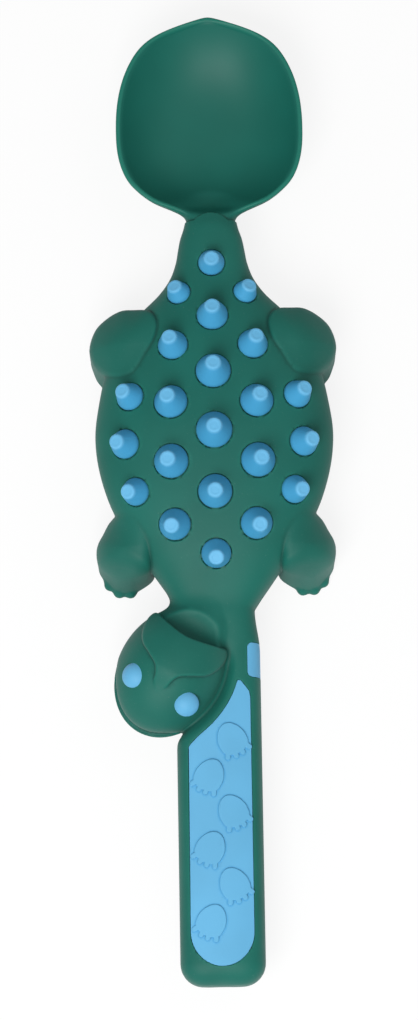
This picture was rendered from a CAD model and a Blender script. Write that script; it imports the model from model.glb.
"""Baby spoon whose soft grip is an armoured dinosaur: every visible surface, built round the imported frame.

The shape functions work in millimetres on the frame's own axes: the bowl's tip points along +Y, the dinosaur
stands on Z = 0 and the handle runs to -Y. Meshes are written in metres. A function whose name ends in _gap
gives the distance from a form, which is negative inside it.
"""
import math

import bmesh
import bpy
import numpy as np
from bpy.props import FloatProperty, FloatVectorProperty, PointerProperty
from mathutils import Matrix, Vector


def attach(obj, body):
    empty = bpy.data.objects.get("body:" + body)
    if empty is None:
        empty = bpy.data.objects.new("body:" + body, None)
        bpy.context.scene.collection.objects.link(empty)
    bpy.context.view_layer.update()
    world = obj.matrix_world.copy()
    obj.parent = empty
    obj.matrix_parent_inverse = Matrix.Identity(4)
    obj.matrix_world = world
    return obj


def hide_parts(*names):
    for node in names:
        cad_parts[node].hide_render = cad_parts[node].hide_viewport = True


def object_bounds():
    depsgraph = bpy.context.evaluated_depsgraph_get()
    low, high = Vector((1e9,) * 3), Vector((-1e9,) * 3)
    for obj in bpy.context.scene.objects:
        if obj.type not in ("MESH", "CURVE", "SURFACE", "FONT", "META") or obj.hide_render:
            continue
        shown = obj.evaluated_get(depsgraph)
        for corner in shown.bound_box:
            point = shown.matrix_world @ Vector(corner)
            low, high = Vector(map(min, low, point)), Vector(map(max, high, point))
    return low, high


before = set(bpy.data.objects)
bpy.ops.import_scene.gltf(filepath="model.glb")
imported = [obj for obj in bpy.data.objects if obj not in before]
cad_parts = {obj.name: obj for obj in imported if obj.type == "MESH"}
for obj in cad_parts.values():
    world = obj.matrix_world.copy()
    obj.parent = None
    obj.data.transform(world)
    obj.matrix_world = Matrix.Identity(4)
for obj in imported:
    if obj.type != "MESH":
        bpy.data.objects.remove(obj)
cad_low, cad_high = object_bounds()

bl_info = {
    "name": "Dinosaur baby spoon",
    "version": (1, 0, 0),
    "blender": (4, 5, 0),
    "location": "3D View > Sidebar > Spoon",
    "description": "Builds the skin, the blue inserts and the finishes of a baby spoon on its packed frame",
    "category": "Object",
}

MM = 0.001
AWAY = 50.0         # a distance beyond any on the spoon
TINY = 1e-9         # keeps a division away from zero
LATHE_SIDES = 64
WHITE = (1, 1, 1, 1)

# Shape of the back, as in the part: rows of (share along the body, share of the change in width or height)
CREST = 0.565
TAIL_WIDTH = [(0, 0), (0.03, 0.02), (0.06, 0.062), (0.09, 0.088), (0.12, 0.113), (0.16, 0.178), (0.2, 0.3),
              (0.25, 0.515), (0.31, 0.705), (0.39, 0.865), (0.47, 0.95), (CREST, 1)]
NECK_WIDTH = [(CREST, 1), (0.62, 0.98), (0.68, 0.917), (0.74, 0.815), (0.8, 0.66), (0.87, 0.435),
              (0.94, 0.19), (0.98, 0.05), (1, 0)]
TAIL_CROWN = [(-0.03, -0.13), (0.03, 0.095), (0.06, 0.15), (0.1, 0.185), (0.15, 0.235), (0.2, 0.33),
              (0.27, 0.51), (0.34, 0.69), (0.42, 0.84), (0.5, 0.95), (CREST, 1)]
NECK_CROWN = [(CREST, 1), (0.72, 0.88), (0.84, 0.6), (0.93, 0.2), (1, 0)]
TAIL_BELLY = [(0, 0), (0.12, 0.35), (0.25, 0.8), (0.38, 1), (CREST, 1)]
BELT_SHARE = 0.53
NECK_W_SHARE = 0.89
TORSO_SQUARE = 2.05
TAIL_SQUARE = 2.3
HANDLE_SQUARE = 3.2
TAIL_DROP = 0.62    # fall of the tail's top for each millimetre past the waist

# Places as shares: the legs along the body, the head's middle in the handle's width and the head's length, its
# widest line and mouth in its height, and the window along the handle
HIND_SHARE = 0.335
FRONT_SHARE = 0.845
HEAD_X_SHARE = 0.56
HEAD_Y_SHARE = 0.45
HEAD_MID_SHARE = 0.45
MOUTH_SHARE = 0.36
WINDOW_SHARE = 0.138

# Legs: height of the rim under the cap at its outer side, and how softly the cap meets the walls
HIND_RIM_H = 9.4
HIND_SOFT = 0.7
FRONT_RIM_H = 8.6
FRONT_SOFT = 1.8
RIM_RISE = 3.6      # how much higher the rim is at its inner side
RIM_FALL = 0.12     # fall of the rim for each millimetre towards the bowl
CAP_RISE = 2.5
TOE_REACH = 1.6     # how far a toe runs back under its foot

# Plans of the legs: (share of half the width outwards, share of half the length towards the bowl), for the
# lobe on top, for the foot, and for the middles of the toes
HIND_LOBE = [(1, 0), (0.83, 0.53), (0.485, 0.85), (0.08, 1.04), (-0.3, 1.04), (-0.7, 0.97), (-0.91, 0.78),
             (-0.99, 0.47), (-0.88, 0.06), (-0.61, -0.38), (-0.44, -0.66), (-0.22, -0.89), (0.16, -0.94),
             (0.535, -0.815), (0.85, -0.47)]
HIND_FOOT = [(1, 0), (0.87, 0.41), (0.57, 0.78), (0.08, 0.97), (-0.36, 0.88), (-0.71, 0.49), (-0.81, -0.05),
             (-0.73, -0.53), (-0.44, -0.89), (0, -1), (0.44, -0.89), (0.77, -0.64), (0.93, -0.31)]
HIND_TOES = [(0.485, -0.835), (0.18, -0.95), (-0.14, -0.95)]
FRONT_LOBE = [(1.05, -0.02), (1.01, 0.24), (0.83, 0.51), (0.595, 0.85), (0.26, 0.98), (-0.24, 0.87),
              (-0.62, 0.565), (-0.83, 0.19), (-0.88, -0.17), (-0.83, -0.55), (-0.52, -0.68), (-0.05, -0.66),
              (0.595, -0.53), (0.95, -0.32)]
FRONT_FOOT = [(0.99, -0.285), (0.94, 0.11), (0.62, 0.49), (0, 0.66), (-0.62, 0.43), (-0.95, 0.02),
              (-0.95, -0.4), (-0.8, -0.64), (-0.36, -0.88), (-0.09, -0.99), (0.26, -0.99), (0.54, -0.86),
              (0.81, -0.58)]
FRONT_TOES = [(0.6, -0.69), (0.29, -0.89), (-0.09, -0.9)]

# Inlay and the pockets of the soft grip: the crown's diameter, the inlay's depth, the space round what lies in a
# pocket, the rounding of edges, the window's back and that of its pocket, and the groove round a spike
CROWN_D = 36
INLAY_DEPTH = 1.2
CLEARANCE = 0.015
SHARP = 0.06
WINDOW_BACK_X = 3.6
WINDOW_POCKET_X = 3.7
GROOVE_W = 0.14
GROOVE_DEPTH = 0.35

# Footprints: the first one's place along the handle, their distance off the middle as a share of the inlay's
# width, a shift to the right, their turn and the radius of a toe
PRINT_COUNT = 6
PRINT_START = 0.35
PRINT_X_SHARE = 0.175
PRINT_SHIFT = 0.13
PRINT_TURN = math.radians(27)
PRINT_TOE_R = 0.36

# Half outline of a footprint's pad, and two of its four toes as (root, tip), in shares of half its width and
# length
PAD = [(0, 1), (0.42, 0.87), (0.77, 0.53), (0.98, 0.085), (1, -0.3), (0.91, -0.66), (0.535, -0.915), (0, -1)]
PAD_TOES = [((0.67, -0.68), (0.83, -0.95)), ((0.23, -0.85), (0.25, -1.08))]

# Half width of the bowl's root: (millimetres from the waist towards the tip, share of half the tail's width)
ROOT_WIDTH = [(-2, 0.985), (-0.9, 0.99), (-0.3, 1.02), (0.35, 1.18), (1, 1.57), (2.15, 2.32), (4, 2.96),
              (5.5, 3.28), (7.5, 3.5)]

# Middles of the rays that cover the bowl: (millimetres from the waist of the outline's point, of the middle).
# They must never turn back along the spoon, or faces would fold over each other
RAY_MIDDLES = [(-1.5, -1.5), (-0.6, -0.2), (0, 2.5), (1.2, 6), (2.3, 7.5), (5.5, 10), (12.5, 13.5),
               (19.5, 15.5), (29.5, 16.2)]
STEM_L = 1.5
BOWL_MID_SHARE = 0.43
BOWL_TIP_SQUARE = 2.25
BOWL_ROOT_SQUARE = 2.5
LIP_STEP = 0.12     # drop from the rim to the bowl's inside
LIP_ROLL = 0.3
UNDER_SKIN = 0.08   # how far the stem stays under the grip's skin
SPIKE_ROUND = 0.32  # rounding between a spike's side and its tip

# Spikes: (share along the body, share of half the torso's width off the middle, share of the largest size,
# share of the usual height)
CENTRE_SPIKES = [(0.13, 0, 0.73, 0.8), (0.27, 0, 0.865, 1), (0.418, 0, 0.965, 1), (0.57, 0, 1, 1),
                 (0.722, 0, 0.935, 1), (0.872, 0, 0.82, 1)]
TAIL_SPIKES = [(0.206, 0.283, 0.66, 0.78)]
INNER_SPIKES = [(0.347, 0.337, 0.83, 1), (0.495, 0.36, 0.92, 1), (0.645, 0.363, 0.945, 1),
                (0.8, 0.341, 0.875, 1)]
OUTER_SPIKES = [(0.475, 0.703, 0.77, 1), (0.595, 0.75, 0.81, 1), (0.715, 0.667, 0.77, 1)]

# Half outline of the brow plate: (share of half the head's width, share of half its length towards the nape)
BROW = [(0, 0.5), (0.21, 0.52), (0.46, 0.57), (0.7, 0.63), (0.79, 0.59), (0.82, 0.46), (0.78, 0.28),
        (0.66, 0.12), (0.43, 0), (0.26, -0.09), (0.175, -0.2), (0.13, -0.32), (0, -0.42)]


def length(name, description, millimetres):
    """A length property, kept in metres and given here in millimetres."""
    return FloatProperty(name=name, description=description, default=millimetres * MM, min=0, unit="LENGTH",
                         precision=5)


def aim(axis, millimetres):
    """A coordinate of the point that the camera looks at."""
    return FloatProperty(name="Look at " + axis, description="Point that the camera looks at",
                         default=millimetres * MM, unit="LENGTH", precision=5)


def angle(name, description, degrees):
    """An angle property, given here in degrees."""
    return FloatProperty(name=name, description=description, default=math.radians(degrees), subtype="ANGLE")


def share(name, description, value):
    """A property without a unit."""
    return FloatProperty(name=name, description=description, default=value)


def colour(name, description, value):
    """A linear colour property."""
    return FloatVectorProperty(name=name, description=description, default=value, subtype="COLOR", min=0,
                               max=1)


class SpoonSizes(bpy.types.PropertyGroup):
    """Sizes of the spoon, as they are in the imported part"""

    bowl_l: length("Bowl length", "From the bowl's tip to the waist where the tail begins", 29.5)
    bowl_w: length("Bowl width", "Outside width of the bowl", 27)
    bowl_depth: length("Bowl depth", "Depth of the bowl below its rim", 6)
    bowl_wall: length("Bowl wall", "Wall under the bowl's floor", 1.3)
    rim_w: length("Rim width", "Width of the bowl's rim", 0.8)
    rim_h: length("Rim height", "Height of the rim above the ground", 10.6)
    body_l: length("Body length", "From the waist to the neck", 57.5)
    torso_w: length("Torso width", "Width of the torso", 34)
    crown_h: length("Crown height", "Height of the back's crown", 17)
    belly_h: length("Belly height", "Height of the belly above the ground", 2)
    tail_w: length("Tail width", "Width of the tail at the waist", 7.3)
    tail_top_h: length("Tail top", "Height of the tail's top at the waist", 11.2)
    tail_under_h: length("Tail underside", "Height of the tail's underside at the waist", 6.3)
    hind_w: length("Thigh width", "Width of a hind thigh", 9.9)
    hind_l: length("Thigh length", "Length of a hind thigh", 10.4)
    hind_x: length("Thigh distance", "Distance of the hind thighs from the middle", 12.8)
    front_w: length("Shoulder width", "Width of a front shoulder", 8.4)
    front_l: length("Shoulder length", "Length of a front shoulder", 10.6)
    front_x: length("Shoulder distance", "Distance of the front shoulders from the middle", 12.8)
    toe_d: length("Toe", "Diameter of a toe", 1.75)
    head_l: length("Head length", "From the nape to the snout", 19.2)
    head_w: length("Head width", "Width of the head", 15.2)
    head_top_h: length("Head height", "Height of the top of the head", 16.6)
    head_turn: angle("Head turn", "Angle between the head and the handle", 29.5)
    brow_rise: length("Brow rise", "How far the brow plate stands out", 0.85)
    eye_d: length("Eye", "Diameter of an eye", 3.5)
    handle_l: length("Handle length", "From the neck to the handle's end", 53)
    handle_w: length("Handle width", "Width of the handle", 12)
    handle_top_h: length("Handle top", "Height of the handle's top", 11.8)
    handle_under_h: length("Handle underside", "Height of the handle's underside", 2.6)
    handle_round: length("Handle rounding", "Rounding of the handle's end", 3.2)
    neck_l: length("Neck length", "Stretch over which the neck becomes the handle", 6)
    neck_rise: length("Neck rise", "Height of the neck over the handle", 0.6)
    inlay_w: length("Inlay width", "Width of the inlay in the handle", 8.9)
    inlay_border: length("Inlay border", "Green border below the inlay", 2.6)
    inlay_lip: length("Inlay lip", "Gap between the head and the inlay", 1.75)
    print_l: length("Footprint length", "Length of a footprint's pad", 4.6)
    print_w: length("Footprint width", "Width of a footprint's pad", 4.1)
    print_rise: length("Footprint rise", "How far a footprint stands out", 0.25)
    print_pitch: length("Footprint distance", "Distance between footprints along the handle", 5.1)
    spike_d: length("Spike", "Diameter of the largest spike at the skin", 5.1)
    spike_tip_d: length("Spike tip", "Diameter of a spike's blunt tip", 2)
    spike_root: length("Spike root", "Depth of a spike's root", 2.2)
    spike_h_share: share("Spike height", "Height of a spike as a share of its diameter", 0.68)
    window_l: length("Window length", "Length of the window along the neck", 4.9)


class SpoonColours(bpy.types.PropertyGroup):
    """Colours of the spoon's two plastics"""

    green: colour("Green", "Soft and stiff green plastic", (0.006, 0.12, 0.092))
    green_edge: colour("Green edge", "Green where an edge thins and lets light through", (0.01, 0.165, 0.12))
    green_pale: colour("Green bloom", "Pale bloom and dust on the soft green", (0.21, 0.33, 0.29))
    blue: colour("Blue", "Pale blue of the inlay, the eyes and the spikes' tips", (0.115, 0.39, 0.63))
    blue_deep: colour("Deep blue", "Blue of the spikes' sides", (0.06, 0.335, 0.59))


class SpoonStudio(bpy.types.PropertyGroup):
    """Camera and lights"""

    tilt: angle("Tilt", "Camera's angle from straight above, towards the handle", 10)
    roll: angle("Roll", "Turn of the picture", 0.955)
    distance: length("Distance", "From the camera to the point it looks at", 600)
    look_x: aim("X", -0.93)
    look_y: aim("Y", -2.25)
    look_z: aim("Z", 8)
    picture_h: length("Picture height", "Height that the picture covers at that distance", 145.714)
    key_power: share("Key light", "Power of the key light in watts", 2.8)
    fill_power: share("Fill light", "Power of the fill light in watts", 0.4)
    sky: share("Sky", "Strength of the plain surrounding light", 0.345)


class Millimetres:
    """The sizes of a property group in millimetres, under the same names. Shares and angles stay as they
    are."""

    def __init__(self, group):
        for name, prop in group.bl_rna.properties.items():
            if prop.type == "FLOAT" and not prop.is_array:
                scale = 1 / MM if prop.unit == "LENGTH" else 1
                setattr(self, name, getattr(group, name) * scale)


def mix(a, b, t):
    """The value a share t of the way from a to b."""
    return a + (b - a) * t


def ease(t):
    """Smooth step from 0 to 1."""
    t = np.clip(t, 0, 1)
    return t * t * (3 - 2 * t)


def curve(rows, u):
    """Smooth curve through rows of (place, value): a cubic between neighbours whose slope at a row is that of
    the line through the rows beside it, and level at both ends."""
    place, value = np.array(rows, float).T
    slope = np.zeros(len(place))
    slope[1:-1] = (value[2:] - value[:-2]) / (place[2:] - place[:-2])
    u = np.clip(u, place[0], place[-1])
    i = np.clip(np.searchsorted(place, u, side="right") - 1, 0, len(place) - 2)
    gap = place[i + 1] - place[i]
    t = (u - place[i]) / gap
    return ((2 * t**3 - 3 * t**2 + 1) * value[i] + (t**3 - 2 * t**2 + t) * gap * slope[i]
            + (3 * t**2 - 2 * t**3) * value[i + 1] + (t**3 - t**2) * gap * slope[i + 1])


def join(a, b, k):
    """Smooth union of two distances: the lesser of them, rounded where they are within k of each other."""
    h = np.maximum(k - np.abs(a - b), 0) / k
    return np.minimum(a, b) - h * h * k / 4


def both(a, b, k):
    """Distance from what two forms share, rounded alike."""
    return -join(-a, -b, k)


def cut(a, b, k):
    """Distance a with b cut out of it, rounded alike."""
    return -join(-a, b, k)


def unit(v):
    """Vectors scaled to a length of 1."""
    return v / np.linalg.norm(v, axis=-1, keepdims=True)


def turned(x, y, turn):
    """Coordinates of a point in axes that are turned clockwise by an angle."""
    c, s = math.cos(turn), math.sin(turn)
    return c * x - s * y, s * x + c * y


def egg_gap(x, y, z, a, b, h):
    """Distance from an ellipsoid, measured along the line to its centre."""
    rho = np.sqrt((x / a) ** 2 + (y / b) ** 2 + (z / h) ** 2) + TINY
    return np.sqrt(x * x + y * y + z * z) * (1 - 1 / rho)


def mirrored(half):
    """A closed outline from its right half, which begins and ends on the middle line."""
    return half + [(-a, b) for a, b in half[-2:0:-1]]


def outline_gap(points, x, y):
    """Distance from a closed outline in the plane: that from the nearest of its sides, with the sign from the
    number of sides that a ray crosses."""
    best = np.full(len(x), np.inf)
    inside = np.zeros(len(x), bool)
    for (ax, ay), (bx, by) in zip(points, np.roll(points, -1, axis=0)):
        ex, ey = bx - ax, by - ay
        t = np.clip(((x - ax) * ex + (y - ay) * ey) / (ex * ex + ey * ey), 0, 1)
        best = np.minimum(best, (x - ax - t * ex) ** 2 + (y - ay - t * ey) ** 2)
        if ey != 0:
            crossing = (ay > y) != (by > y)
            inside ^= crossing & (x < ax + (y - ay) * ex / ey)
    return np.where(inside, -1, 1) * np.sqrt(best)


def closed_curve(points, steps):
    """Points on a smooth closed curve through the given ones: a cubic between neighbours whose slope at a
    point is half the step between the points beside it."""
    p = np.array(points, float)
    a, b, c, d = np.roll(p, 1, 0), p, np.roll(p, -1, 0), np.roll(p, -2, 0)
    t = (np.arange(steps) / steps)[None, :, None]
    a, b, c, d = (q[:, None, :] for q in (a, b, c, d))
    out = 0.5 * (2 * b + (c - a) * t + (2 * a - 5 * b + 4 * c - d) * t**2 + (3 * b - a - 3 * c + d) * t**3)
    return out.reshape(-1, 2)


def reach_of(outline, half, heading):
    """Distance from a plan's middle to its smooth outline in the direction of an angle. The outline's points
    are shares of half its width and length, and it has one crossing in each direction."""
    x, y = (closed_curve(outline, 8) * half).T
    around = np.arctan2(y, x)
    order = np.argsort(around)
    return np.interp(heading, around[order], np.hypot(x, y)[order], period=2 * math.pi)


class Spoon:
    """The spoon's surfaces as functions of place."""

    def __init__(self, sizes):
        s = self.s = sizes
        self.tip_y = (s.bowl_l + s.body_l + s.handle_l) / 2
        self.waist_y = self.tip_y - s.bowl_l
        self.neck_y = self.waist_y - s.body_l
        self.end_y = -self.tip_y
        self.straight_end_y = self.end_y + s.handle_round
        self.hind_y = self.waist_y - s.body_l * HIND_SHARE
        self.front_y = self.waist_y - s.body_l * FRONT_SHARE
        self.head_x = -s.handle_w * HEAD_X_SHARE
        self.head_y = self.neck_y - s.head_l * HEAD_Y_SHARE
        self.head_mid_h = mix(s.handle_under_h, s.head_top_h, HEAD_MID_SHARE)
        self.mouth_h = mix(s.handle_under_h, s.head_top_h, MOUTH_SHARE)
        self.inlay_end_y = self.end_y + s.inlay_border
        self.window_y = self.down_handle(WINDOW_SHARE)
        self.brow = closed_curve(mirrored([(a * s.head_w / 2, b * s.head_l / 2) for a, b in BROW]), 6)
        self.inlay = self.inlay_outline()
        self.waist_top = float(self.top_z(self.waist_y))

    # Sections across the spoon

    def down_handle(self, place):
        """A place along the handle, from its share of the handle's length."""
        return self.neck_y - self.s.handle_l * place

    def past_neck(self, y):
        """Smooth step from the neck to the plain handle."""
        return ease((self.neck_y - y) / self.s.neck_l)

    def section(self, y, tail_rows, neck_rows, waist, crest, neck, handle):
        """A size of the section: tables take it from the waist's value to the crest's and on to the neck's,
        and past the neck it is the handle's."""
        u = np.clip((self.waist_y - y) / self.s.body_l, 0, 1)
        return np.where(u < CREST, mix(waist, crest, curve(tail_rows, u)),
                        np.where(u < 1, mix(neck, crest, curve(neck_rows, u)), handle))

    def half_w(self, y):
        s = self.s
        return self.section(y, TAIL_WIDTH, NECK_WIDTH, s.tail_w, s.torso_w, s.handle_w * NECK_W_SHARE,
                            s.handle_w * mix(NECK_W_SHARE, 1, self.past_neck(y))) / 2

    def top_z(self, y):
        s = self.s
        return self.section(y, TAIL_CROWN, NECK_CROWN, s.tail_top_h, s.crown_h, s.handle_top_h + s.neck_rise,
                            s.handle_top_h + s.neck_rise * (1 - self.past_neck(y)))

    def under_z(self, y):
        s = self.s
        return self.section(y, TAIL_BELLY, NECK_WIDTH, s.tail_under_h, s.belly_h, s.handle_under_h,
                            s.handle_under_h)

    def square(self, y):
        """Exponent of the section's outline."""
        return self.section(y, TAIL_WIDTH, NECK_WIDTH, TAIL_SQUARE, TORSO_SQUARE, HANDLE_SQUARE,
                            HANDLE_SQUARE)

    def back_z(self, x, y):
        """Height of the back over a point."""
        e, belt = self.square(y), mix(self.under_z(y), self.top_z(y), BELT_SHARE)
        side = np.minimum(1, np.abs(x) / self.half_w(y))
        return belt + (self.top_z(y) - belt) * (1 - side**e) ** (1 / e)

    def spine_gap(self, x, y, z):
        """Distance from the torso, tail and handle: along the line to the section's middle, with the handle's
        end rounded over."""
        s = self.s
        at = np.clip(y, self.straight_end_y, self.waist_y)
        w, under, e = self.half_w(at), self.under_z(at), self.square(at)
        top = self.top_z(at) - TAIL_DROP * np.maximum(y - self.waist_y, 0)
        belt = mix(under, top, BELT_SHARE)
        rise = z - belt
        h = np.where(rise > 0, top - belt, belt - under)
        rho = ((np.abs(x) / w) ** e + (np.abs(rise) / h) ** e) ** (1 / e) + TINY
        gap = np.hypot(x, rise) * (1 - 1 / rho)
        over = np.maximum(self.straight_end_y - y, 0)
        ended = np.hypot(np.maximum(gap + s.handle_round, 0), over) - s.handle_round
        return np.where(over > 0, ended, gap)

    # Legs, head and the cuts

    def leg_gap(self, x, y, z, spine, place, size, edge_z, softness, lobe, foot, toes):
        """Distance from a leg: walls whose plan goes from the foot's to the lobe's, a sloping cap over them
        that is a thin pad where it lies on the back, and toes."""
        half = np.array(size) / 2
        dx, dy = x - place[0], y - place[1]
        heading, r = np.arctan2(dy, dx), np.hypot(dx, dy)
        inwards = (1 - dx / half[0]) / 2
        rim_z = edge_z + RIM_RISE * inwards - RIM_FALL * np.maximum(dy, 0)
        lobe_r = reach_of(lobe, half, heading)
        wall = r - mix(reach_of(foot, half, heading), lobe_r, np.clip(z / rim_z, 0, 1))
        cap = (z - rim_z - CAP_RISE * (1 - np.minimum(r / lobe_r, 1.5) ** 2)) * 0.7
        pad = join(spine - 0.17, cap, 2.2)
        gap = both(pad, wall, softness)
        toe_r = self.s.toe_d / 2
        for a, b in toes:
            ex, ey, ez = dx - a * half[0], dy - b * half[1], z - toe_r
            back = np.clip(ey / TOE_REACH + ez / 6, 0, 1)
            toe = np.sqrt(ex**2 + (ey - TOE_REACH * back) ** 2 + (ez - 0.5 * back) ** 2) - toe_r
            gap = join(gap, toe, 0.5)
        return cut(gap, z, 0.6)

    def legs_gap(self, x, y, z, spine):
        """Distance from the nearest leg. They are alike on both sides."""
        s = self.s
        right = np.abs(x)
        hind = self.leg_gap(right, y, z, spine, (s.hind_x, self.hind_y), (s.hind_w, s.hind_l), HIND_RIM_H,
                            HIND_SOFT, HIND_LOBE, HIND_FOOT, HIND_TOES)
        front = self.leg_gap(right, y, z, spine, (s.front_x, self.front_y), (s.front_w, s.front_l),
                             FRONT_RIM_H, FRONT_SOFT, FRONT_LOBE, FRONT_FOOT, FRONT_TOES)
        return np.minimum(hind, front)

    def head_axes(self, x, y):
        """Place in the head's own axes: to its right eye, and towards its nape."""
        return turned(x - self.head_x, y - self.head_y, self.s.head_turn)

    def head_gap(self, x, y, z):
        """Distance from the head: half an ellipsoid over straighter jaws, with the mouth line and the brow
        plate."""
        s = self.s
        u, v = self.head_axes(x, y)
        a, b = s.head_w / 2, s.head_l / 2
        rise = z - self.head_mid_h
        plan = np.hypot(u / a, v / b)
        upper = np.hypot(plan, rise / (s.head_top_h - self.head_mid_h))
        lower = (plan**3 + np.abs(rise / (self.head_mid_h - s.handle_under_h)) ** 3) ** (1 / 3)
        rho = np.where(rise > 0, upper, lower) + TINY
        r = np.sqrt(u * u + v * v + rise * rise)
        skull = r * (1 - 1 / rho)
        # The upper jaw draws in over the mouth line, most at the snout
        front = ease((-v / b - 0.15) / 0.5) * ease((0.85 - u / a) / 0.5)
        over = ease((z - self.mouth_h) / 0.25) * (1 - ease((z - self.mouth_h - 0.3) / 4.5))
        skull = skull + 0.65 * front * over
        level = z - self.mouth_h
        groove = np.hypot(level, np.minimum(skull + 0.1, 0)) - 0.22
        groove = np.where(front > 0.02, groove + 0.3 * (1 - front), AWAY)
        skull = cut(skull, groove, 0.15)
        plate_rise = s.brow_rise * ease((v / b + 0.42) / 0.35)
        plate = both(skull - plate_rise, outline_gap(self.brow, u, v), 0.3)
        return join(skull, np.where(rise > 0, plate, AWAY), 0.2)

    def nape_gap(self, x, y, z):
        """Distance from the hollow behind the brow plate, an ellipsoid that ends at the plate."""
        s = self.s
        u, v = self.head_axes(x, y)
        hollow = egg_gap(u - s.head_w * 0.04, v - s.head_l * 0.345, z - s.head_top_h, s.head_w * 0.46,
                         s.head_l * 0.19, 4.4)
        return cut(hollow, outline_gap(self.brow, u, v), 0.3)

    def spikes(self):
        """Every spike as (node, base, axis, size, height share)."""
        rows = [(f"spike_centre_{i + 1}", 1, p) for i, p in enumerate(CENTRE_SPIKES)]
        for word, side in (("left", -1), ("right", 1)):
            rows += [(f"spike_tail_{word}", side, p) for p in TAIL_SPIKES]
            rows += [(f"spike_inner_{word}_{i + 1}", side, p) for i, p in enumerate(INNER_SPIKES)]
            rows += [(f"spike_outer_{word}_{i + 1}", side, p) for i, p in enumerate(OUTER_SPIKES)]
        feel = self.s.spike_d / 20
        out = []
        for node, side, (u, off, size, tall) in rows:
            x, y = side * off * self.s.torso_w / 2, self.waist_y - u * self.s.body_l
            slope_x = (self.back_z(x - feel, y) - self.back_z(x + feel, y)) / (2 * feel)
            slope_y = (self.back_z(x, y - feel) - self.back_z(x, y + feel)) / (2 * feel)
            axis = unit(np.array([slope_x, slope_y, 1.0]))
            out.append((node, np.array([x, y, self.back_z(x, y)]), axis, size, tall))
        return out

    def inlay_outline(self):
        """Plan of the inlay: a pointed top that follows the head, straight sides and a round end."""
        s = self.s
        w = s.inlay_w / 2
        bend_y = self.inlay_end_y + 1.08 * w
        turn = np.linspace(0, math.pi, 25)
        end = np.stack([w * np.cos(turn), bend_y - 1.08 * w * np.sin(turn)], 1)
        reach_u, reach_v = s.head_w / 2 + s.inlay_lip, s.head_l / 2 + s.inlay_lip
        y = np.linspace(self.down_handle(0.37), self.down_handle(0.1945), 40)
        x = np.linspace(-w, w, 400)
        u, v = self.head_axes(x[None, :], y[:, None])
        left = x[np.argmax((u / reach_u) ** 2 + (v / reach_v) ** 2 > 1, axis=1)]
        line = y - y[0] - w - 2 * np.maximum(0, y - y[0] - 3.4)
        left = both(left, line, 0.5)
        apex = np.array([(left[-1] + 0.25, y[-1] + 0.08), (left[-1] + 0.55, y[-1] - 0.05)])
        shoulder = np.array([(w - 0.5, self.down_handle(0.2135)), (w - 0.12, self.down_handle(0.2245)),
                             (w, self.down_handle(0.24))])
        return np.concatenate([np.stack([left, y], 1), apex, shoulder, end])

    def prints(self):
        """Middle and turn of every footprint, from the head to the handle's end."""
        s = self.s
        out = []
        for i in range(PRINT_COUNT):
            side = 1 if i % 2 == 0 else -1
            y = self.down_handle(PRINT_START) - i * s.print_pitch
            out.append((side * PRINT_X_SHARE * s.inlay_w + PRINT_SHIFT, y, side * PRINT_TURN))
        return out

    def print_gap(self, x, y):
        """Distance in the plan from the nearest footprint: an egg with four toes."""
        s = self.s
        half = np.array([s.print_w, s.print_l]) / 2
        pad = closed_curve(np.array(mirrored(PAD)) * half, 6)
        toes = np.array(PAD_TOES) * half
        best = np.full(x.shape, np.inf)
        for cx, cy, turn in self.prints():
            near = (np.abs(y - cy) < 5) & (np.abs(x - cx) < 5)
            u, v = turned(x[near] - cx, y[near] - cy, -turn)
            gap = outline_gap(pad, u, v)
            for (ax, ay), (bx, by) in toes:
                t = np.clip(((np.abs(u) - ax) * (bx - ax) + (v - ay) * (by - ay))
                            / ((bx - ax) ** 2 + (by - ay) ** 2), 0, 1)
                toe = np.hypot(np.abs(u) - mix(ax, bx, t), v - mix(ay, by, t)) - PRINT_TOE_R
                gap = join(gap, toe, 0.08)
            best[near] = np.minimum(best[near], gap)
        return best

    def inlay_top(self, x):
        """Height of the inlay, which is crowned across the handle."""
        return self.s.handle_top_h - x * x / CROWN_D

    def inlay_gap(self, p):
        """Distance from the inlay with its raised footprints."""
        x, y, z = p.T
        top = self.inlay_top(x)
        body = cut(outline_gap(self.inlay, x, y), top - z, SHARP)
        raised = cut(self.print_gap(x, y), top + self.s.print_rise - z, 0.1)
        return np.maximum(join(body, raised, 0.05), top - INLAY_DEPTH - z)

    def window_plan(self, x, y, z):
        """Distance from the window's outline, a rectangle with round corners from above and from the side."""
        r, half = 0.75, self.s.window_l / 2
        across, down = 4.12 + r - x, 3.3 + r - z
        along = np.abs(y - self.window_y) - half + r
        above = np.hypot(np.maximum(across, 0), np.maximum(along, 0)) - r
        beside = np.hypot(np.maximum(down, 0), np.maximum(along, 0)) - r
        return np.maximum(above, beside)

    def window_gap(self, p):
        """Distance from the window: the neck's own surface, within the outline."""
        x, y, z = p.T
        shell = np.maximum(self.spine_gap(x, y, z) + 0.02, WINDOW_BACK_X - x)
        return both(shell, self.window_plan(x, y, z), SHARP)

    def grip_gap(self, p):
        """Distance from the whole soft grip: torso, legs and head joined, with the pockets cut, up to the
        seam."""
        s = self.s
        x, y, z = p.T
        gap = self.spine_gap(x, y, z)
        near = (y < self.neck_y + 8) & (y > self.neck_y - 22)
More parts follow.
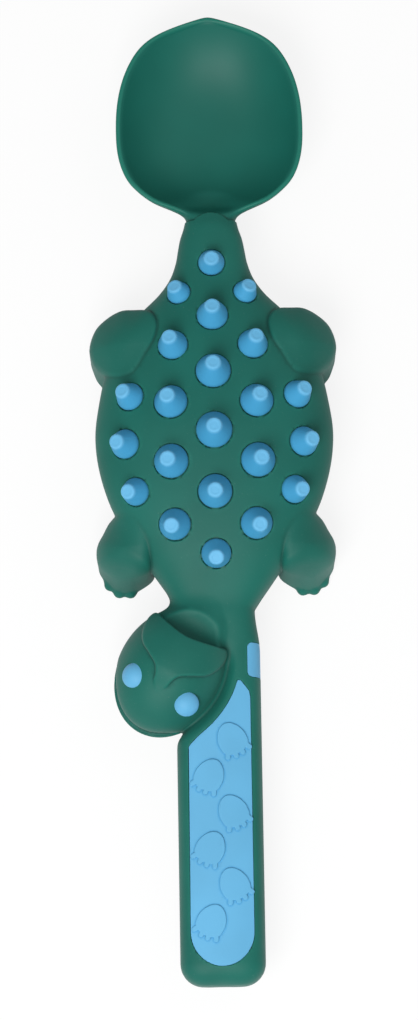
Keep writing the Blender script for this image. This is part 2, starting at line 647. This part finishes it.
        # The handle draws in beside the head
        u, v = self.head_axes(x, y)
        beside = (np.hypot(u / (s.head_w / 2), v / (s.head_l / 2)) - 1) * s.head_w / 2
        gap = gap + 0.9 * np.exp(-(np.maximum(beside, 0) / 0.8) ** 2) * ease((self.neck_y - 4 - y) / 5)
        legs = np.abs(y - (self.hind_y + self.front_y) / 2) < 26
        leg = self.legs_gap(x[legs], y[legs], z[legs], gap[legs])
        gap[legs] = join(gap[legs], leg, 0.25)
        hx, hy, hz = x[near], y[near], z[near]
        fillet = mix(0.5, 3.4, ease((hy - self.neck_y + 6) / 4) * ease((3 - hx) / 3))
        gap[near] = cut(join(gap[near], self.head_gap(hx, hy, hz), fillet), self.nape_gap(hx, hy, hz), 0.45)
        # A groove round every spike, which lies a little uphill of it
        for _, base, axis, size, _ in self.spikes():
            q = p - base
            close = (q * q).sum(1) < 16
            q = q[close]
            lean = -axis * np.array([1, 1, 0]) * 0.22 - np.array([0, 0.07, 0])
            q = q - (lean - axis * lean.dot(axis))
            up = q @ axis
            out = np.sqrt(np.maximum((q * q).sum(1) - up * up, 0))
            pocket = np.maximum(out - s.spike_d * size / 2 - GROOVE_W, -GROOVE_DEPTH - up)
            gap[close] = cut(gap[close], pocket, GROOVE_W)
        # The pockets in the handle are shallow, because nothing shows under the inserts
        handle = (y < self.neck_y - 2) & (np.abs(x) < s.handle_w) & (z > 3)
        hx, hy, hz = x[handle], y[handle], z[handle]
        top = self.inlay_top(hx)
        groove = np.maximum(outline_gap(self.inlay, hx, hy) - CLEARANCE, top - 0.6 - hz)
        prints = np.maximum(self.print_gap(hx, hy) - CLEARANCE, top - 0.3 - hz)
        window = np.maximum(self.window_plan(hx, hy, hz) - CLEARANCE, WINDOW_POCKET_X - hx)
        window = np.maximum(window, -gap[handle] - 0.6)
        for pocket in (groove, prints, window):
            gap[handle] = cut(gap[handle], pocket, SHARP)
        seam = self.waist_y - 0.9 + 1.3 * np.maximum(0, 1 - (x / 2.4) ** 2) * ease((z - 9) / 2)
        return np.maximum(gap, y - seam)


def slope(field, points, reach=0.02):
    """Gradient of a field by central differences."""
    out = np.empty_like(points)
    for axis in range(3):
        step = np.zeros(3)
        step[axis] = reach
        out[:, axis] = (field(points + step) - field(points - step)) / (2 * reach)
    return out


def settle(field, points, rounds=3, longest=0.3):
    """Steps along the field's slope, each as long as the value over the slope, bring points on to its zero
    level."""
    for _ in range(rounds):
        g = slope(field, points)
        step = -field(points)[:, None] * g / np.maximum((g * g).sum(1), 0.05)[:, None]
        size = np.linalg.norm(step, axis=1, keepdims=True)
        points = points + step * np.minimum(1, longest / np.maximum(size, TINY))
    return points


def part_pinches(value, nudge=1e-4):
    """Where the corners of a grid's face lie in and out by turns, the skin would pinch to an edge of four
    faces, so the corner that is nearest to the skin changes sides."""
    for _ in range(12):
        found = 0
        for axis in range(3):
            v = value.transpose([axis, (axis + 1) % 3, (axis + 2) % 3])
            corners = np.stack([v[:, :-1, :-1], v[:, 1:, :-1], v[:, 1:, 1:], v[:, :-1, 1:]], -1)
            inside = corners < 0
            turns = (inside != np.roll(inside, 1, -1)).all(-1)
            nearest = np.abs(corners[turns]).argmin(1)
            i, j, k = np.nonzero(turns)
            j, k = j + np.isin(nearest, (1, 2)), k + np.isin(nearest, (2, 3))
            v[i, j, k] = np.where(v[i, j, k] < 0, nudge, -nudge)
            found += len(i)
        if not found:
            break


def surface_net(field, low, high, cell):
    """Skin of the place where a field is negative. Every cell of a grid that the skin crosses gets one point,
    the mean of the crossings on its edges, and every crossed edge gets one face between the four cells round
    it."""
    axes = [np.arange(a - cell, b + 2 * cell, cell) for a, b in zip(low, high)]
    shape = tuple(len(a) for a in axes)
    grid = np.stack(np.meshgrid(*axes, indexing="ij"), -1)
    value = field(grid.reshape(-1, 3)).reshape(shape)
    part_pinches(value)
    cells = tuple(n - 1 for n in shape)
    total, count = np.zeros(cells + (3,)), np.zeros(cells)
    for axis in range(3):
        order = [axis, (axis + 1) % 3, (axis + 2) % 3]
        v = value.transpose(order)
        a, b = v[:-1], v[1:]
        crossed = (a < 0) != (b < 0)
        t = np.where(crossed, a / np.where(crossed, a - b, 1), 0)
        place = grid.transpose(order + [3])[:-1].copy()
        place[..., axis] += t * cell
        place *= crossed[..., None]
        tot, cnt = total.transpose(order + [3]), count.transpose(order)
        for j in (slice(None, -1), slice(1, None)):
            for k in (slice(None, -1), slice(1, None)):
                tot += place[:, j, k]
                cnt += crossed[:, j, k]
    used = count > 0
    index = np.full(cells, -1)
    index[used] = np.arange(used.sum())
    points = total[used] / count[used][:, None]
    faces = []
    for axis in range(3):
        order = [axis, (axis + 1) % 3, (axis + 2) % 3]
        v, idx = value.transpose(order), index.transpose(order)
        a, b = v[:-1, 1:-1, 1:-1] < 0, v[1:, 1:-1, 1:-1] < 0
        quad = np.stack([idx[:, :-1, :-1], idx[:, 1:, :-1], idx[:, 1:, 1:], idx[:, :-1, 1:]], -1)
        faces += [quad[a & ~b], quad[b & ~a][:, ::-1]]
    return points, np.concatenate(faces)


def triangles(points, quads):
    """Each face with four corners as two triangles, across its shorter diagonal."""
    a, b, c, d = (points[quads[:, i]] for i in range(4))
    short = ((a - c) ** 2).sum(1) < ((b - d) ** 2).sum(1)
    one = np.where(short[:, None], quads[:, [0, 1, 2]], quads[:, [0, 1, 3]])
    two = np.where(short[:, None], quads[:, [0, 2, 3]], quads[:, [1, 2, 3]])
    return np.concatenate([one, two])


def halve_edges(points, faces, wanted):
    """Splits the edges for which wanted(ends) is true, and the triangles beside them in two, three or four."""
    ends = np.sort(faces[:, [0, 1, 1, 2, 2, 0]].reshape(-1, 2), axis=1)
    code, which = np.unique(ends[:, 0] * len(points) + ends[:, 1], return_inverse=True)
    edges = np.stack([code // len(points), code % len(points)], 1)
    split = wanted(edges)
    middle = np.full(len(edges), -1)
    middle[split] = len(points) + np.arange(split.sum())
    m = middle[which].reshape(-1, 3)
    cut_n = (m >= 0).sum(1)
    # One cut edge is turned to the front, and two cut edges are turned so that the whole one comes last
    first = np.where(cut_n == 1, np.argmax(m >= 0, 1), np.where(cut_n == 2, (np.argmax(m < 0, 1) + 1) % 3, 0))
    order = (first[:, None] + np.arange(3)) % 3
    f, m = np.take_along_axis(faces, order, 1), np.take_along_axis(m, order, 1)
    a, b, c = f.T
    p, q, r = m.T
    rows = [(cut_n == 0, [(a, b, c)]),
            (cut_n == 1, [(a, p, c), (p, b, c)]),
            (cut_n == 2, [(p, b, q), (a, p, q), (a, q, c)]),
            (cut_n == 3, [(a, p, r), (p, b, q), (r, q, c), (p, q, r)])]
    out = [np.stack(t, 1)[mask] for mask, parts in rows for t in parts]
    return np.concatenate([points, points[edges[split]].mean(1)]), np.concatenate(out)


def bend(field, points, reach=0.3):
    """How sharply the skin bends at points: positive on ridges, negative in creases, in 1 / mm."""
    total = -6 * field(points)
    for axis in range(3):
        step = np.zeros(3)
        step[axis] = reach
        total += field(points + step) + field(points - step)
    return total / reach**2


# Meshes

def new_mesh(name, points, faces, attributes=()):
    """An object at the origin from points in millimetres and faces of one kind, all smooth."""
    mesh = bpy.data.meshes.new(name)
    mesh.vertices.add(len(points))
    mesh.vertices.foreach_set("co", (np.asarray(points) * MM).astype(np.float32).ravel())
    corners = faces.shape[1]
    mesh.loops.add(faces.size)
    mesh.loops.foreach_set("vertex_index", faces.astype(np.int32).ravel())
    mesh.polygons.add(len(faces))
    mesh.polygons.foreach_set("loop_start", np.arange(0, faces.size, corners, dtype=np.int32))
    mesh.polygons.foreach_set("use_smooth", np.ones(len(faces), bool))
    mesh.update(calc_edges=True)
    mesh.validate()
    for key, values in attributes:
        layer = mesh.attributes.new(key, "FLOAT", "POINT")
        layer.data.foreach_set("value", np.asarray(values, np.float32))
    obj = bpy.data.objects.new(name, mesh)
    bpy.context.scene.collection.objects.link(obj)
    return obj


def closed_grid(name, points, attributes):
    """A piece from rows of points, whose last column joins its first. Points that fall together at poles and
    seams are merged, and every face is turned outwards."""
    rows, columns = points.shape[:2]
    i, j = np.meshgrid(np.arange(rows - 1), np.arange(columns), indexing="ij")
    a, b = i * columns + j, i * columns + (j + 1) % columns
    faces = np.stack([a, b, b + columns, a + columns], -1).reshape(-1, 4)
    obj = new_mesh(name, points.reshape(-1, 3), faces, attributes)
    edit = bmesh.new()
    edit.from_mesh(obj.data)
    bmesh.ops.remove_doubles(edit, verts=edit.verts, dist=0.002 * MM)
    bmesh.ops.recalc_face_normals(edit, faces=edit.faces)
    edit.to_mesh(obj.data)
    edit.free()
    obj.data.update()
    return obj


def lathe(name, profile, base, axis, attributes=()):
    """A piece from a profile of (radius, height) carried round an axis through base. An attribute gives one
    value for each point of the profile."""
    side = unit(np.cross(axis, [0, 1, 0]) if abs(axis[1]) < 0.9 else np.cross(axis, [1, 0, 0]))
    other = np.cross(axis, side)
    a = 2 * np.pi * np.arange(LATHE_SIDES) / LATHE_SIDES
    ring = np.cos(a)[:, None] * side + np.sin(a)[:, None] * other
    r, h = np.array(profile, float).T
    points = base + r[:, None, None] * ring + h[:, None, None] * axis
    return closed_grid(name, points, [(key, np.repeat(values, LATHE_SIDES)) for key, values in attributes])


def finish_piece(obj, finish, slot, *nodes):
    """Gives a piece its material, its slot in the record, and the CAD nodes that it stands for."""
    obj.data.materials.append(finish)
    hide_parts(*nodes)
    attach(obj, "root")


# Materials

class Value:
    """A socket in a sum: arithmetic on it adds Math nodes to its tree."""

    def __init__(self, tree, socket):
        self.tree, self.socket = tree, socket

    def _math(self, operation, a, b):
        node = self.tree.nodes.new("ShaderNodeMath")
        node.operation = operation
        for slot, v in zip(node.inputs, (a, b)):
            if isinstance(v, Value):
                self.tree.links.new(v.socket, slot)
            else:
                slot.default_value = v
        return Value(self.tree, node.outputs[0])

    def __add__(self, other):
        return self._math("ADD", self, other)

    def __mul__(self, other):
        return self._math("MULTIPLY", self, other)

    __radd__ = __add__
    __rmul__ = __mul__


class Nodes:
    """The node tree of a material or a world, with one method that adds any node."""

    def __init__(self, owner):
        owner.use_nodes = True
        self.tree = owner.node_tree
        self.tree.nodes.clear()

    def add(self, kind, settings=None, output=0, **sockets):
        """Adds a node: its settings first, then the values or links of its sockets, whose names have _ for
        spaces. A socket that shares its name with another is given by its place, as s0."""
        node = self.tree.nodes.new("ShaderNode" + kind)
        for key, value in (settings or {}).items():
            setattr(node, key, value)
        for key, value in sockets.items():
            name = key.replace("_", " ")
            slot = node.inputs[int(name[1:])] if name[0] == "s" and name[1:].isdigit() else node.inputs[name]
            if isinstance(value, Value):
                self.tree.links.new(value.socket, slot)
            else:
                slot.default_value = value
        return Value(self.tree, node.outputs[output])

    def place(self):
        return self.add("TexCoord", output=3)

    def noise(self, place, scale, detail=3.0, roughness=0.55):
        return self.add("TexNoise", Vector=place, Scale=scale, Detail=detail, Roughness=roughness)

    def attribute(self, name):
        return self.add("Attribute", {"attribute_name": name}, output=2)

    def blend(self, mask, a, b):
        """Mixes two colours."""
        return self.add("Mix", {"data_type": "RGBA"}, output=2, s0=mask, s6=a, s7=b)

    def spread(self, value, low, high):
        """Smooth step of a value between two others."""
        return self.add("MapRange", {"interpolation_type": "SMOOTHSTEP"}, Value=value, From_Min=low,
                        From_Max=high)

    def mottled(self, place, scale, paint, low, high):
        """A colour that drifts between two strengths of itself."""
        drift = self.spread(self.noise(place, scale, 2), 0.3, 0.7)
        return self.blend(drift, rgba(paint, low), rgba(paint, high))

    def plastic(self, base, grain, roughness, variation, distance, strength, **more):
        """Ends a material in plastic, whose grain varies its roughness and stands out by a distance in
        metres."""
        bump = self.add("Bump", Height=grain, Distance=distance, Strength=strength)
        shader = self.add("BsdfPrincipled", Base_Color=base, Roughness=roughness + grain * variation,
                          Specular_IOR_Level=0.3, Normal=bump, **more)
        self.end("Material", shader)

    def end(self, kind, shader):
        """Links a shader to the output of a material or a world."""
        out = self.tree.nodes.new("ShaderNodeOutput" + kind)
        self.tree.links.new(shader.socket, out.inputs[0])


def rgba(paint, strength=1.0):
    """A colour at a strength, with full alpha."""
    return (*(min(1, c * strength) for c in paint), 1.0)


def soft_green(f, colours):
    """Soft green plastic: fine grain, a faint bloom of dust, brighter thin edges and darker creases."""
    at = f.place()
    speck = f.spread(f.noise(at, 3800, 2, 0.5), 0.66, 0.78)
    base = f.mottled(at, 90, colours.green, 0.93, 1.08)
    base = f.blend(f.attribute("ridge") * 0.35, base, rgba(colours.green_edge))
    base = f.blend(f.attribute("crease") * 0.6, base, rgba(colours.green, 0.35))
    base = f.blend(speck * 0.12, base, rgba(colours.green_pale))
    f.plastic(base, f.noise(at, 2600, 4, 0.7), 0.52, 0.12, 0.00002, 0.6, IOR=1.45, Sheen_Weight=0.04,
              Sheen_Roughness=0.5)


def stiff_green(f, colours):
    """Stiff green plastic of the bowl: satin, with finer grain and a brighter thin rim."""
    at = f.place()
    base = f.mottled(at, 70, colours.green, 0.94, 1.06)
    base = f.blend(f.attribute("ridge"), base, rgba(colours.green_edge))
    f.plastic(base, f.noise(at, 3200, 3, 0.6), 0.46, 0.1, 0.000012, 0.4, IOR=1.47)


def soft_blue(f, colours):
    """Blue plastic. Creases lose more red than blue."""
    at = f.place()
    shade = [c * left for c, left in zip(colours.blue, (0.25, 0.65, 0.8))]
    base = f.mottled(at, 110, colours.blue, 0.96, 1.03)
    base = f.blend(f.attribute("crease") * 0.4, base, rgba(shade))
    f.plastic(base, f.noise(at, 3000, 3, 0.6), 0.5, 0.1, 0.000015, 0.4, IOR=1.45)


def spike_blue(f, colours):
    """Blue plastic of the spikes, whose sides are deeper than the worn tips."""
    base = f.blend(f.attribute("tip"), rgba(colours.blue_deep), rgba(colours.blue, 1.1))
    f.plastic(base, f.noise(f.place(), 3000, 3, 0.6), 0.5, 0.1, 0.000015, 0.4, IOR=1.45)


def material(context, name, maker):
    """The material of that name, made on first use."""
    found = bpy.data.materials.get(name)
    if found is None:
        found = bpy.data.materials.new(name)
        maker(Nodes(found), context.scene.spoon_colours)
    return found


# Pieces

def field_skin(name, field, low, high, cell, passes):
    """A piece whose surface is a field's zero level. Each pass halves the edges that are longer than a length
    and whose ends face apart by more than an angle. Normals are the field's slope, and two attributes hold
    how sharply the surface bends outwards and inwards."""
    points, quads = surface_net(field, low, high, cell)
    faces = triangles(points, quads)
    points = settle(field, points)
    for shortest, turn in passes:
        normal = unit(slope(field, points))

        def apart(edges):
            a, b = edges.T
            far = np.linalg.norm(points[a] - points[b], axis=1) > shortest
            return far & ((normal[a] * normal[b]).sum(1) < math.cos(math.radians(turn)))

        count = len(points)
        points, faces = halve_edges(points, faces, apart)
        points[count:] = settle(field, points[count:], longest=cell / 3)
    sharpness = bend(field, points)
    obj = new_mesh(name, points, faces, [("ridge", np.clip((sharpness - 0.6) / 2.5, 0, 1)),
                                         ("crease", np.clip((-sharpness - 0.5) / 3, 0, 1))])
    obj.data.normals_split_custom_set_from_vertices(unit(slope(field, points)))
    return obj


class SPOON_OT_grip(bpy.types.Operator):
    """Skin of the soft grip: torso, legs, head and handle flow into each other, so the skin is the zero level
    of one field, which no grid of two parameters covers"""

    bl_idname = "spoon.grip"
    bl_label = "Soft grip"

    def execute(self, context):
        spoon = Spoon(Millimetres(context.scene.spoon_sizes))
        low = np.array([cad_low[0] / MM, cad_low[1] / MM, 0])
        high = np.array([cad_high[0] / MM, spoon.waist_y + 1, spoon.s.crown_h + 1])
        obj = field_skin("soft_grip", spoon.grip_gap, low, high, 0.5, ((0.3, 10), (0.16, 13)))
        finish_piece(obj, material(context, "soft green", soft_green), "green_grip", "body_grip")
        return {"FINISHED"}


class SPOON_OT_inlay(bpy.types.Operator):
    """Inlay of the handle and window of the neck: their outlines and raised footprints branch, so they are
    zero levels of fields too"""

    bl_idname = "spoon.inlay"
    bl_label = "Inlay and window"

    def execute(self, context):
        spoon = Spoon(Millimetres(context.scene.spoon_sizes))
        finish = material(context, "inlay blue", soft_blue)
        s = spoon.s
        low = np.array([-s.inlay_w / 2 - 0.5, spoon.inlay_end_y - 0.3, s.handle_top_h - 2.2])
        high = np.array([s.inlay_w / 2 + 1, spoon.down_handle(0.18), s.handle_top_h + 0.6])
        obj = field_skin("inlay_skin", spoon.inlay_gap, low, high, 0.25, ((0.12, 12), (0.07, 14)))
        finish_piece(obj, finish, "blue_inlay", "handle_inlay")
        low = np.array([3.3, spoon.window_y - s.window_l, 2.6])
        high = np.array([s.handle_w / 2 + 0.3, spoon.window_y + s.window_l, s.handle_top_h + 1])
        obj = field_skin("window_skin", spoon.window_gap, low, high, 0.25, ((0.12, 10), (0.08, 14)))
        finish_piece(obj, finish, "blue_inlay", "neck_window")
        return {"FINISHED"}


class SPOON_OT_core(bpy.types.Operator):
    """Bowl and stem: rays from the middle line of the plan to its outline, with a height over and under each
    point"""

    bl_idname = "spoon.core"
    bl_label = "Bowl and stem"

    def execute(self, context):
        spoon = Spoon(Millimetres(context.scene.spoon_sizes))
        s = spoon.s
        mid_y = mix(spoon.waist_y + s.rim_w / 8, spoon.tip_y, BOWL_MID_SHARE)
        tip_l, root_l = spoon.tip_y - mid_y, mid_y - spoon.waist_y - s.rim_w / 8
        end_y = spoon.waist_y - STEM_L

        def oval_share(x, y, inset):
            """Share of the way from the bowl's middle to its outline, drawn in by an inset."""
            a = s.bowl_w / 2 - inset
            l = np.where(y > mid_y, tip_l, root_l) - inset
            e = np.where(y > mid_y, BOWL_TIP_SQUARE, BOWL_ROOT_SQUARE)
            return ((np.abs(x) / a) ** e + (np.abs(y - mid_y) / l) ** e) ** (1 / e)

        def half_w(y):
            """Half the plan's width: the bowl's squared oval, pointed a little at its tip, which a table
            brings in to the waist."""
            far = np.where(y > mid_y, (y - mid_y) / tip_l, (mid_y - y) / root_l)
            e = np.where(y > mid_y, BOWL_TIP_SQUARE, BOWL_ROOT_SQUARE)
            oval = s.bowl_w / 2 * np.maximum(0, 1 - far**e) ** (1 / e)
            point = np.clip((far - 0.6) / 0.4, 0, 1) ** 4.5 * (y > mid_y)
            root = curve(ROOT_WIDTH, y - spoon.waist_y) * s.tail_w / 2
            return mix(root, oval * (1 - 0.65 * point), ease((y - spoon.waist_y - 3.6) / 2.4))

        # The right half of the outline from the tip to the stem's end, with its points closer together at the
        # tip
        t = np.linspace(0, 1, 60)
        tip_part = spoon.tip_y - tip_l * (1 - np.cos(t * np.pi / 2))
        root_part = mix(mid_y, end_y, np.linspace(0, 1, 90)[1:])
        y = np.concatenate([tip_part, root_part])
        x = half_w(y)
        x[0] = 0
        outline = np.stack([x, y], 1)
        heading = np.stack([np.gradient(x), np.gradient(y)], 1)
        heading[0] = (1, 0)
        inward = unit(np.stack([heading[:, 1], -heading[:, 0]], 1))
        centre = np.stack([0 * y, curve(RAY_MIDDLES, y - spoon.waist_y) + spoon.waist_y], 1)
        lip = s.rim_w + 0.05
        inner = outline + inward * lip
        inner[0] = (0, spoon.tip_y - lip)
        # Rings from the rays' middles out to the outline under the bowl, and then back over it, each with its
        # distance in from the outline
        shares = np.sin(np.linspace(0, 1, 26) * np.pi / 2)
        steps = lip * (1 - np.cos(np.linspace(0, 1, 11) * np.pi)) / 2
        out = [(mix(centre, inner, k), lip + (1 - k) * 5) for k in shares]
        out += [(outline + inward * (lip - q), lip - q) for q in steps[1:]]
        rings = out + out[-2::-1]
        plan = np.stack([p for p, _ in rings])
        plan[:, 0, 0] = 0
        q = np.array([q for _, q in rings])[:, None]
        over = np.arange(len(rings))[:, None] >= len(out)
        px, py = plan[..., 0], plan[..., 1]
        past = py - spoon.waist_y
        stem = 1 - ease((past + 0.2) / 1.9)
        under_skin = UNDER_SKIN * (1 - ease(past / 0.4))
        belt = mix(s.tail_under_h, spoon.waist_top, BELT_SHARE)
        w = np.maximum(half_w(py), 0.1)
        side = (1 - np.minimum(1, np.abs(px) / w) ** TAIL_SQUARE) ** (1 / TAIL_SQUARE)
        root = np.exp(-(px / 3.6) ** 2) * (1 - ease((past - 3) / 4))
        near = join(oval_share(px, py, s.rim_w), 1, 0.02 + 0.5 * root)
        step = LIP_STEP * ease((q - s.rim_w * 0.65) / (s.rim_w * 0.4))
        rolled = np.maximum(LIP_ROLL - q, 0) / LIP_ROLL
        lip_drop = LIP_ROLL * (1 - np.sqrt(np.maximum(0, 1 - rolled**2)))
        floor = s.rim_h - lip_drop - step - (s.bowl_depth - LIP_STEP) * (1 - np.maximum(near, 0) ** 3)
        ramp = spoon.waist_top - TAIL_DROP * np.maximum(past, 0)
        floor = join(floor, ramp + 6 * ease((np.abs(px) - 2) / 3) + 20 * ease((past - 3) / 5), 0.8)
        top = mix(floor, belt + (ramp - belt) * side, stem) - under_skin
        rho = np.minimum(1, oval_share(px, py, 0))
        web = 0.9 * (1 - ease((past - 0.2) / 2.5))
        shell = s.rim_h - s.bowl_depth * (1 - rho**3) - mix(s.bowl_wall, LIP_ROLL + web, rho**8)
        keel_w = mix(s.tail_w / 2, 2.2, ease(past / 8))
        keel_z = mix(s.tail_under_h, 4.4, ease(past / 5))
        keel = belt - (belt - keel_z) * np.sqrt(np.maximum(0, 1 - (px / keel_w) ** 2))
        keel = keel + np.maximum(0, np.abs(px) - keel_w) * 3 + 8 * ease((past - 3) / 8)
        under = belt - (belt - s.tail_under_h) * side
        bottom = mix(join(shell, keel, 0.8), under, 1 - ease((past + 0.3) / 1.6)) + under_skin
        pz = np.where(over, top, np.minimum(bottom, top - 0.02))
        px = px - np.sign(px) * np.minimum(under_skin, np.abs(px))
        ridge = ease((lip - q) / 0.5) * (1 - stem) * (1 - np.exp(-(px / 2.6) ** 2 - (past / 2.5) ** 2))
        ridge = np.where(over, ridge, 0)
        right = np.stack([px, py, pz], -1)
        left = right[:, ::-1] * np.array([-1, 1, 1])
        ridge = np.concatenate([ridge, ridge[:, ::-1]], 1)
        obj = closed_grid("bowl_and_stem", np.concatenate([right, left], 1), [("ridge", ridge.ravel())])
        finish_piece(obj, material(context, "stiff green", stiff_green), "green_core", "spoon_core")
        return {"FINISHED"}


class SPOON_OT_spikes(bpy.types.Operator):
    """Spikes: a profile turned round the line that the back faces along, with a worn dimple in the tip"""

    bl_idname = "spoon.spikes"
    bl_label = "Spikes"

    def execute(self, context):
        spoon = Spoon(Millimetres(context.scene.spoon_sizes))
        s = spoon.s
        finish = material(context, "spike blue", spike_blue)
        for node, base, axis, size, tall in spoon.spikes():
            r = s.spike_d * size / 2
            h = s.spike_d * size * s.spike_h_share * tall
            tip = s.spike_tip_d / 2
            lean = math.atan2(r - tip, h)
            edge = tip - SPIKE_ROUND * math.tan((math.pi / 2 - lean) / 2)
            rounding = [(edge + SPIKE_ROUND * math.cos(a), h - SPIKE_ROUND * (1 - math.sin(a)))
                        for a in np.linspace(lean, math.pi / 2, 7)]
            wall_r, wall_h = rounding[0]
            profile = [(0, -s.spike_root), (r, -s.spike_root), (r, -0.6), (r, -0.05)]
            profile += [(mix(r, wall_r, t), mix(0, wall_h, t)) for t in np.linspace(0, 1, 8)[:-1]]
            profile += rounding
            dimple = 0.62 * tip
            profile += [(mix(edge, dimple, 0.5), h), (dimple, h - 0.005), (dimple * 0.9, h - 0.03),
                        (dimple * 0.78, h - 0.035), (dimple * 0.4, h - 0.025), (0, h - 0.02)]
            heights = np.array([p[1] for p in profile])
            worn = ease((heights - (h - SPIKE_ROUND * 1.25)) / (SPIKE_ROUND * 0.8))
            obj = lathe(node + "_skin", profile, base, axis, [("tip", worn)])
            finish_piece(obj, finish, "blue_spike", node)
        return {"FINISHED"}


class SPOON_OT_eyes(bpy.types.Operator):
    """Eyes: low domes turned round the line that each eye looks along"""

    bl_idname = "spoon.eyes"
    bl_label = "Eyes"

    def execute(self, context):
        spoon = Spoon(Millimetres(context.scene.spoon_sizes))
        s = spoon.s
        finish = material(context, "inlay blue", soft_blue)
        rise = 0.9
        dome = (s.eye_d**2 / 4 + rise**2) / (2 * rise)
        arc = math.asin(s.eye_d / 2 / dome)
        tilt, lean = math.radians(22.5), math.radians(-3.5)
        for word, side in (("left", -1), ("right", 1)):
            turn = (Matrix.Rotation(-s.head_turn, 3, "Z") @ Matrix.Rotation(side * tilt + lean, 3, "Y")
                    @ Matrix.Rotation(tilt / 2, 3, "X"))
            axis = np.array(turn @ Vector((0, 0, 1)))
            local = Vector((side * 0.545 * s.head_w / 2 + 0.3, -0.365 * s.head_l / 2, 0))
            place = Matrix.Rotation(-s.head_turn, 3, "Z") @ local
            base = np.array([spoon.head_x + place.x, spoon.head_y + place.y,
                             mix(spoon.head_mid_h, s.head_top_h, 0.7)]) + 0.4 * axis
            a = np.linspace(arc, 0, 16)
            profile = [(0, -2.2), (s.eye_d / 2, -2.2), (s.eye_d / 2, -0.6), (s.eye_d / 2, -0.04)]
            profile += list(zip(dome * np.sin(a), dome * np.cos(a) + rise - dome))
            obj = lathe(f"eye_{word}_skin", profile, base, axis)
            finish_piece(obj, finish, "blue_inlay", f"eye_{word}")
        return {"FINISHED"}


class SPOON_OT_stage(bpy.types.Operator):
    """Camera, lights and a plain pale floor"""

    bl_idname = "spoon.stage"
    bl_label = "Stage"

    def execute(self, context):
        scene = context.scene
        s = scene.spoon_studio
        look = Vector((s.look_x, s.look_y, s.look_z))
        up = Vector((0, math.cos(s.tilt), math.sin(s.tilt)))
        back = Vector((0, -math.sin(s.tilt), math.cos(s.tilt)))
        right = Vector((1, 0, 0)) * math.cos(s.roll) - up * math.sin(s.roll)
        upright = Vector((1, 0, 0)) * math.sin(s.roll) + up * math.cos(s.roll)
        data = bpy.data.cameras.new("camera")
        data.sensor_width = 36
        data.lens = data.sensor_width * s.distance / s.picture_h
        data.clip_start, data.clip_end = 0.01, 20
        camera = bpy.data.objects.new("camera", data)
        camera.matrix_world = Matrix.Translation(look + back * s.distance) @ Matrix(
            (right, upright, back)).transposed().to_4x4()
        scene.collection.objects.link(camera)
        scene.camera = camera

        def area(name, power, size, place):
            """A square light that faces the origin."""
            light = bpy.data.lights.new(name, "AREA")
            light.energy, light.size = power, size
            lamp = bpy.data.objects.new(name, light)
            facing = Vector(place).normalized().to_track_quat("Z", "Y").to_matrix().to_4x4()
            lamp.matrix_world = Matrix.Translation(place) @ facing
            scene.collection.objects.link(lamp)

        area("key light", s.key_power, 0.3, (-0.1, -0.28, 0.47))
        area("fill light", s.fill_power, 0.5, (0.3, 0.25, 0.5))

        # The first output of the node LightPath tells the camera's own rays from others
        scene.world = bpy.data.worlds.new("studio")
        f = Nodes(scene.world)
        lit = f.add("Background", Color=WHITE, Strength=s.sky)
        seen = f.add("Background", Color=WHITE)
        f.end("World", f.add("MixShader", s0=f.add("LightPath"), s1=lit, s2=seen))

        pale = bpy.data.materials.new("pale floor")
        f = Nodes(pale)
        grain = f.noise(f.place(), 60, 2)
        paint = f.add("BsdfDiffuse", Color=f.blend(grain, (0.86, 0.86, 0.86, 1), (0.9, 0.9, 0.9, 1)))
        glow = f.add("Emission", Color=WHITE, Strength=1.0)
        f.end("Material", f.add("MixShader", s0=f.add("LightPath") * 0.85, s1=paint, s2=glow))
        reach = 3000
        floor = new_mesh("floor", np.array([(-reach, -reach, 0), (reach, -reach, 0), (reach, reach, 0),
                                            (-reach, reach, 0)], float), np.array([[0, 1, 2, 3]]))
        floor.data.materials.append(pale)
        scene.view_settings.view_transform = "Standard"
        return {"FINISHED"}


class SPOON_PT_panel(bpy.types.Panel):
    """Sizes, colours and pieces of the spoon"""

    bl_idname = "SPOON_PT_panel"
    bl_label = "Spoon"
    bl_space_type = "VIEW_3D"
    bl_region_type = "UI"
    bl_category = "Spoon"

    def draw(self, context):
        for piece in PIECES:
            self.layout.operator(piece.bl_idname)
        for group in (context.scene.spoon_sizes, context.scene.spoon_colours, context.scene.spoon_studio):
            box = self.layout.box()
            for name in group.__annotations__:
                box.prop(group, name)


PIECES = (SPOON_OT_stage, SPOON_OT_core, SPOON_OT_grip, SPOON_OT_inlay, SPOON_OT_spikes, SPOON_OT_eyes)
GROUPS = {"spoon_sizes": SpoonSizes, "spoon_colours": SpoonColours, "spoon_studio": SpoonStudio}


def register():
    for cls in (*GROUPS.values(), *PIECES, SPOON_PT_panel):
        bpy.utils.register_class(cls)
    for name, group in GROUPS.items():
        setattr(bpy.types.Scene, name, PointerProperty(type=group))


def unregister():
    for name in GROUPS:
        delattr(bpy.types.Scene, name)
    for cls in (SPOON_PT_panel, *reversed(PIECES), *reversed(GROUPS.values())):
        bpy.utils.unregister_class(cls)


def main():
    register()
    for name in ("stage", "core", "grip", "inlay", "spikes", "eyes"):
        getattr(bpy.ops.spoon, name)()


if __name__ == "__main__":
    main()
